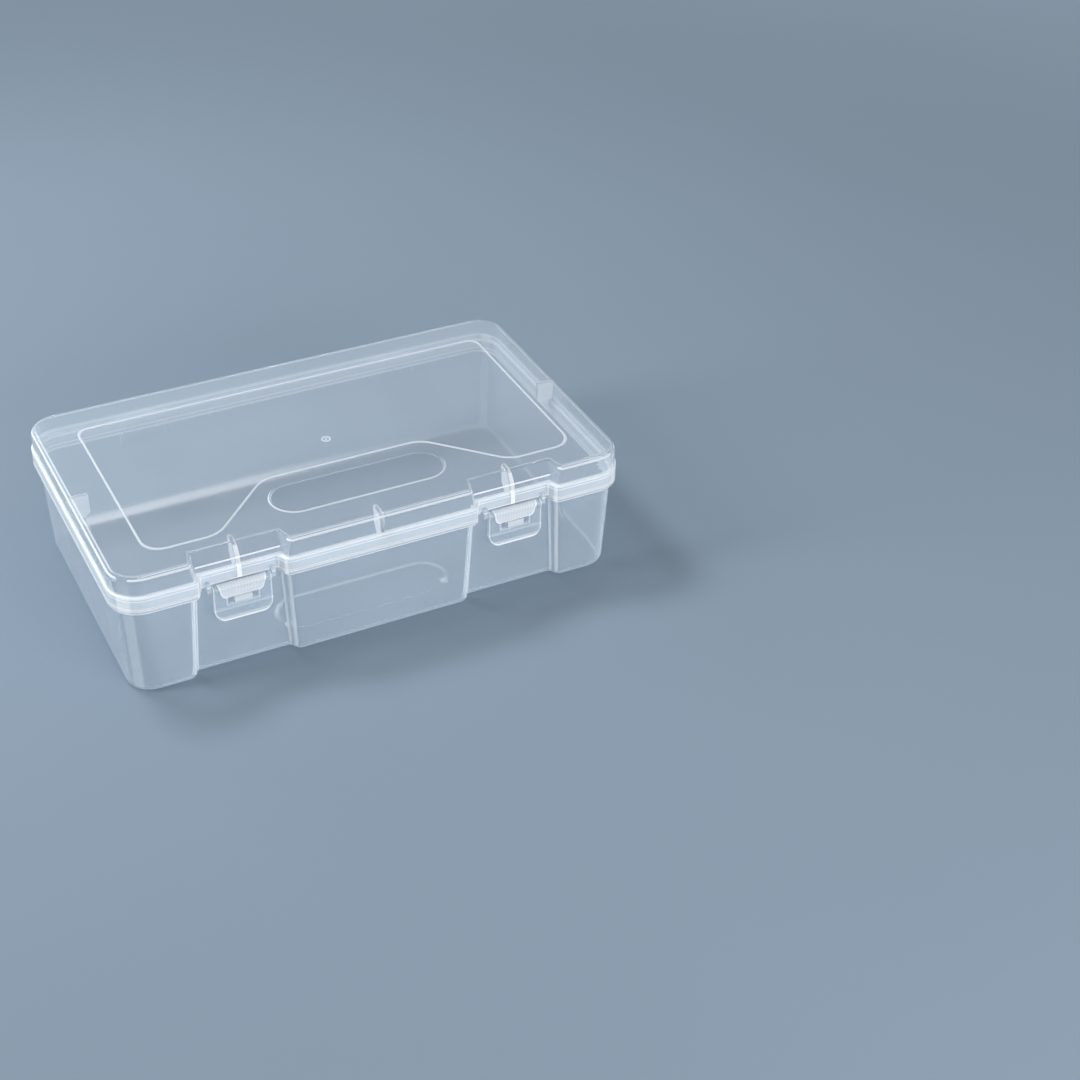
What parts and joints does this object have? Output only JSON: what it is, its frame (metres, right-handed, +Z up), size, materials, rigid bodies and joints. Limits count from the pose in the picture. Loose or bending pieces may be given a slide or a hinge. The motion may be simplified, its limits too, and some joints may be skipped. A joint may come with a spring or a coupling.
{
  "type": "craft storage box",
  "caption": "Translucent craft storage box: a drafted tub under a shallow lid that hinges at the back, with pockets in its front where swinging latches clip over moulded catches.",
  "frame": {"origin": "middle of the underside, half way between the front and back edges of the rim", "axes": "+X to the box's right along its long side, +Y from the latches to the hinges, +Z up from the underside to the lid"},
  "size_m": [0.24, 0.1501, 0.0643],
  "materials": {
    "tub_plastic": "translucent milky polypropylene, satin",
    "lid_plastic": "translucent milky polypropylene, smooth",
    "latch_plastic": "translucent milky polypropylene, smooth"
  },
  "bodies": {
    "base": {"base_tub": "tub_plastic"},
    "lid": {"lid_shell": "lid_plastic"},
    "latch_left": {"left_latch": "latch_plastic"},
    "latch_right": {"right_latch": "latch_plastic"}
  },
  "joints": [
    {"name": "lid_hinge", "type": "hinge", "parent": "base", "child": "lid", "pos_m": [0, 0.0743, 0.0476], "axis": [-1, 0, 0], "range_deg": [0, 110]},
    {"name": "left_latch_pivot", "type": "hinge", "parent": "lid", "child": "latch_left", "pos_m": [-0.0646, -0.0669, 0.0454], "axis": [-1, 0, 0], "range_deg": [0, 160]},
    {"name": "right_latch_pivot", "type": "hinge", "parent": "lid", "child": "latch_right", "pos_m": [0.0646, -0.0669, 0.0454], "axis": [-1, 0, 0], "range_deg": [0, 160]}
  ]
}
